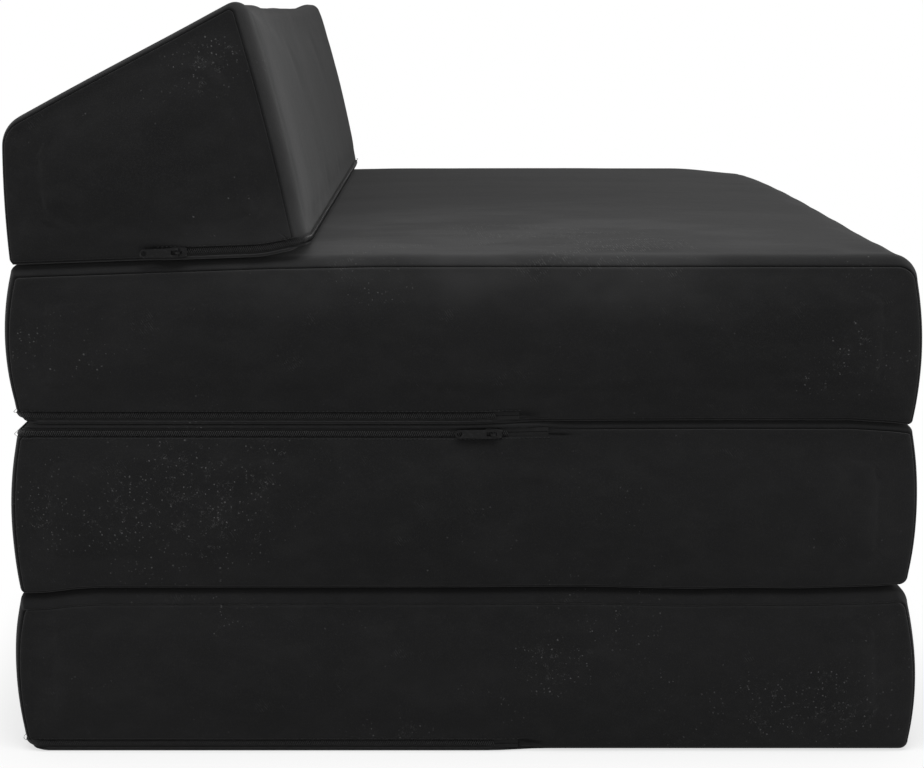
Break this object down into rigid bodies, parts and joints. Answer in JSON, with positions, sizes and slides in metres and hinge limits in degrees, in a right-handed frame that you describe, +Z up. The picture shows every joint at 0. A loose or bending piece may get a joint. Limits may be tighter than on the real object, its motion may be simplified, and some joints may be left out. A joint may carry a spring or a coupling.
{
  "type": "folding sofa bed",
  "caption": "Folding foam sofa bed: stacked, fabric-hinged mattress blocks with zipped covers and a hinged wedge backrest.",
  "frame": {"origin": "on the floor under the middle of the stack's overall box", "axes": "+X towards the front of the seat, +Y towards its left side, away from the pictured side, +Z up"},
  "size_m": [0.6654, 0.8, 0.5459],
  "materials": {
    "cover": "black brushed microfibre, matt",
    "foam": "cream cut foam",
    "zip_tape": "black woven tape with a nylon coil",
    "zip_metal": "black enamel on zinc"
  },
  "bodies": {
    "base": {"base_foam": "foam", "base_cover_band": "cover", "base_side_panel_right": "cover", "base_side_panel_left": "cover", "base_zip_tape_outer": "zip_tape", "base_zip_tape_inner": "zip_tape", "rear_hinge_leaf_lower": "cover"},
    "middle": {"middle_foam": "foam", "middle_cover_band": "cover", "middle_side_panel_right": "cover", "middle_side_panel_left": "cover", "middle_zip_tape_outer": "zip_tape", "middle_zip_tape_inner": "zip_tape", "rear_hinge_leaf_upper": "cover", "front_hinge_leaf_lower": "cover"},
    "seat": {"seat_foam": "foam", "seat_cover_band": "cover", "seat_side_panel_right": "cover", "seat_side_panel_left": "cover", "seat_zip_tape_outer": "zip_tape", "seat_zip_tape_inner": "zip_tape", "front_hinge_leaf_upper": "cover", "backrest_hinge_leaf_lower": "cover"},
    "backrest": {"backrest_foam": "foam", "backrest_cover_band": "cover", "backrest_side_panel_right": "cover", "backrest_side_panel_left": "cover", "backrest_zip_tape_outer": "zip_tape", "backrest_zip_tape_inner": "zip_tape", "backrest_hinge_leaf_upper": "cover"},
    "base_slider": {"base_zip_slider": "zip_metal"},
    "base_pull": {"base_zip_pull": "zip_metal"},
    "middle_slider": {"middle_zip_slider": "zip_metal"},
    "middle_pull": {"middle_zip_pull": "zip_metal"},
    "seat_slider": {"seat_zip_slider": "zip_metal"},
    "seat_pull": {"seat_zip_pull": "zip_metal"},
    "backrest_slider": {"backrest_zip_slider": "zip_metal"},
    "backrest_pull": {"backrest_zip_pull": "zip_metal"}
  },
  "joints": [
    {"name": "rear_hinge", "type": "hinge", "parent": "base", "child": "middle", "pos_m": [-0.3303, 0, 0.12265], "axis": [0, -1, 0], "range_deg": [0, 180]},
    {"name": "front_hinge", "type": "hinge", "parent": "middle", "child": "seat", "pos_m": [0.3303, 0, 0.24545], "axis": [0, 1, 0], "range_deg": [0, 180]},
    {"name": "backrest_hinge", "type": "hinge", "parent": "seat", "child": "backrest", "pos_m": [-0.3265, 0, 0.36025], "axis": [0, -1, 0], "range_deg": [0, 158]},
    {"name": "base_zip_slide", "type": "slide", "parent": "base", "child": "base_slider", "axis": [-1, 0, 0], "range_m": [0, 0.325]},
    {"name": "middle_zip_slide", "type": "slide", "parent": "middle", "child": "middle_slider", "axis": [-1, 0, 0], "range_m": [0, 0.325]},
    {"name": "seat_zip_slide", "type": "slide", "parent": "seat", "child": "seat_slider", "axis": [-1, 0, 0], "range_m": [0, 0.325]},
    {"name": "backrest_zip_slide", "type": "slide", "parent": "backrest", "child": "backrest_slider", "axis": [0.9993, 0, 0.0362], "range_m": [0, 0.073]},
    {"name": "base_pull_hinge", "type": "hinge", "parent": "base_slider", "child": "base_pull", "pos_m": [0.018, 0.39745, 0.006], "axis": [0, 0, -1], "range_deg": [0, 170]},
    {"name": "middle_pull_hinge", "type": "hinge", "parent": "middle_slider", "child": "middle_pull", "pos_m": [0.021, -0.39745, 0.2393], "axis": [0, 0, 1], "range_deg": [0, 170]},
    {"name": "seat_pull_hinge", "type": "hinge", "parent": "seat_slider", "child": "seat_pull", "pos_m": [0.018, 0.39745, 0.2516], "axis": [0, 0, -1], "range_deg": [0, 170]},
    {"name": "backrest_pull_hinge", "type": "hinge", "parent": "backrest_slider", "child": "backrest_pull", "pos_m": [-0.2033, -0.39745, 0.37086], "axis": [-0.0362, 0, 0.9993], "range_deg": [0, 170]}
  ]
}
